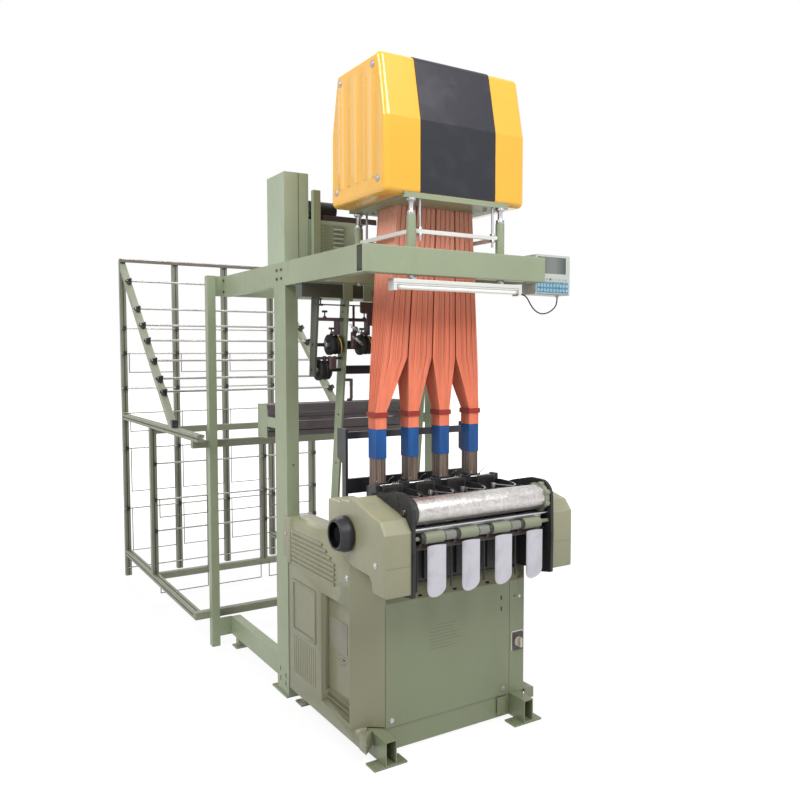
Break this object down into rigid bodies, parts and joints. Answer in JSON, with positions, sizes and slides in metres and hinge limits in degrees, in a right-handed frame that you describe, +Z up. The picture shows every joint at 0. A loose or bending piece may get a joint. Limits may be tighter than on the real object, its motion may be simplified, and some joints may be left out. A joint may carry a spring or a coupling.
{
  "type": "jacquard power loom",
  "caption": "Computer controlled jacquard needle loom for narrow tapes, with a gantry mounted jacquard head and a yarn creel behind it.",
  "frame": {"origin": "on the floor, on the line of the front anchor holes, midway between the two feet", "axes": "+X to the right across the loom, +Y from the weaver's side to the creel, +Z up"},
  "size_m": [1.3015, 3.466, 2.7925],
  "materials": {
    "body_green": "satin",
    "frame_green": "satin",
    "cover_yellow": "semi-gloss",
    "black_paint": "satin",
    "white_paint": "satin",
    "bright_steel": "satin",
    "chrome": "polished",
    "aluminium": "satin",
    "cast_black": "semi-matte",
    "black_plastic": "matte",
    "green_plastic": "satin",
    "rubber": "matte",
    "harness_fabric": "matte",
    "sleeve_fabric": "matte",
    "white_plastic": "gloss",
    "panel_plastic": "semi-gloss",
    "knob_plastic": "gloss"
  },
  "bodies": {
    "loom": {"base_frame": "body_green", "base_panels": "body_green", "bed_plate": "body_green", "lower_cover_left": "body_green", "lower_cover_right": "body_green", "upper_housing_left": "body_green", "upper_housing_right": "body_green", "side_plates": "cast_black", "isolator_plate": "white_plastic", "drive_motor": "cast_black", "drive_belt": "rubber", "breast_casting": "cast_black", "needle_bed": "cast_black", "roller_holders": "black_paint", "fabric_chutes": "aluminium", "heald_stand": "black_paint", "harness_cords": "harness_fabric", "harness_sleeves": "sleeve_fabric", "jacquard_cover": "cover_yellow", "cover_panel": "black_paint", "head_base_plate": "frame_green", "hook_modules": "black_plastic", "jack_posts": "black_paint", "jack_screws": "bright_steel", "guide_frame": "white_paint", "gantry_columns": "frame_green", "side_beams": "frame_green", "front_beam": "frame_green", "cross_beams": "frame_green", "hanger_bars": "frame_green", "floor_rails": "frame_green", "roof_boxes": "frame_green", "lamp_housing": "white_plastic", "lamp_tubes": "white_plastic", "control_panel": "white_paint", "panel_face": "panel_plastic", "panel_cable": "rubber", "warp_guide": "frame_green", "creel_posts": "aluminium", "creel_side_rails": "aluminium", "creel_cross_rails": "aluminium", "creel_inclines": "aluminium", "creel_rods": "chrome", "creel_loops": "bright_steel", "cover_screws": "bright_steel"},
    "main_drive": {"main_shaft": "bright_steel", "handwheel": "black_plastic"},
    "motor_drive": {"motor_pulley": "bright_steel"},
    "takeup": {"takeup_drum": "bright_steel", "drum_handle": "green_plastic"},
    "delivery": {"delivery_rollers": "green_plastic"},
    "weft_1": {"weft_needle_1": "bright_steel"},
    "weft_2": {"weft_needle_2": "bright_steel"},
    "weft_3": {"weft_needle_3": "bright_steel"},
    "weft_4": {"weft_needle_4": "bright_steel"},
    "sley": {"reed_sley": "bright_steel"},
    "needle_bar": {"knitting_bar": "bright_steel"},
    "isolator": {"isolator_knob": "knob_plastic"},
    "feed_1": {"feed_shaft_1": "rubber"},
    "feed_2": {"feed_shaft_2": "rubber"}
  },
  "joints": [
    {"name": "main_shaft_spin", "type": "hinge", "parent": "loom", "child": "main_drive", "pos_m": [0.02, 0.128, 0.904], "axis": [1, 0, 0], "continuous": true},
    {"name": "motor_spin", "type": "hinge", "parent": "loom", "child": "motor_drive", "pos_m": [-0.35, 0.35, 0.3], "axis": [1, 0, 0], "continuous": true},
    {"name": "takeup_spin", "type": "hinge", "parent": "loom", "child": "takeup", "pos_m": [0.02, -0.11, 1.013], "axis": [1, 0, 0], "continuous": true},
    {"name": "delivery_spin", "type": "hinge", "parent": "loom", "child": "delivery", "pos_m": [0.02, -0.15, 0.917], "axis": [1, 0, 0], "continuous": true},
    {"name": "weft_swing_1", "type": "hinge", "parent": "loom", "child": "weft_1", "pos_m": [-0.283, 0.02, 1.057], "axis": [0, 0, 1], "range_deg": [0, 55]},
    {"name": "weft_swing_2", "type": "hinge", "parent": "loom", "child": "weft_2", "pos_m": [-0.121, 0.02, 1.057], "axis": [0, 0, 1], "range_deg": [0, 55]},
    {"name": "weft_swing_3", "type": "hinge", "parent": "loom", "child": "weft_3", "pos_m": [0.041, 0.02, 1.057], "axis": [0, 0, 1], "range_deg": [0, 55]},
    {"name": "weft_swing_4", "type": "hinge", "parent": "loom", "child": "weft_4", "pos_m": [0.203, 0.02, 1.057], "axis": [0, 0, 1], "range_deg": [0, 55]},
    {"name": "sley_beat", "type": "hinge", "parent": "loom", "child": "sley", "pos_m": [0.02, 0.205, 0.76], "axis": [1, 0, 0], "range_deg": [-2, 6]},
    {"name": "needle_bar_slide", "type": "slide", "parent": "loom", "child": "needle_bar", "axis": [0, 1, 0], "range_m": [0, 0.02]},
    {"name": "isolator_turn", "type": "hinge", "parent": "loom", "child": "isolator", "pos_m": [0.3685, 0.05, 0.334], "axis": [0, 1, 0], "range_deg": [0, 90]},
    {"name": "feed_spin_1", "type": "hinge", "parent": "loom", "child": "feed_1", "pos_m": [0.02, 0.6237, 1.655], "axis": [1, 0, 0], "continuous": true},
    {"name": "feed_spin_2", "type": "hinge", "parent": "loom", "child": "feed_2", "pos_m": [0.02, 0.63722, 1.54], "axis": [1, 0, 0], "continuous": true}
  ],
  "couplings": [
    {"joint": "motor_spin", "follows": "main_shaft_spin", "ratio": 1.125},
    {"joint": "delivery_spin", "follows": "takeup_spin", "ratio": 2.2609},
    {"joint": "feed_spin_2", "follows": "feed_spin_1", "ratio": 1},
    {"joint": "weft_swing_2", "follows": "weft_swing_1", "ratio": 1},
    {"joint": "weft_swing_3", "follows": "weft_swing_1", "ratio": 1},
    {"joint": "weft_swing_4", "follows": "weft_swing_1", "ratio": 1}
  ]
}
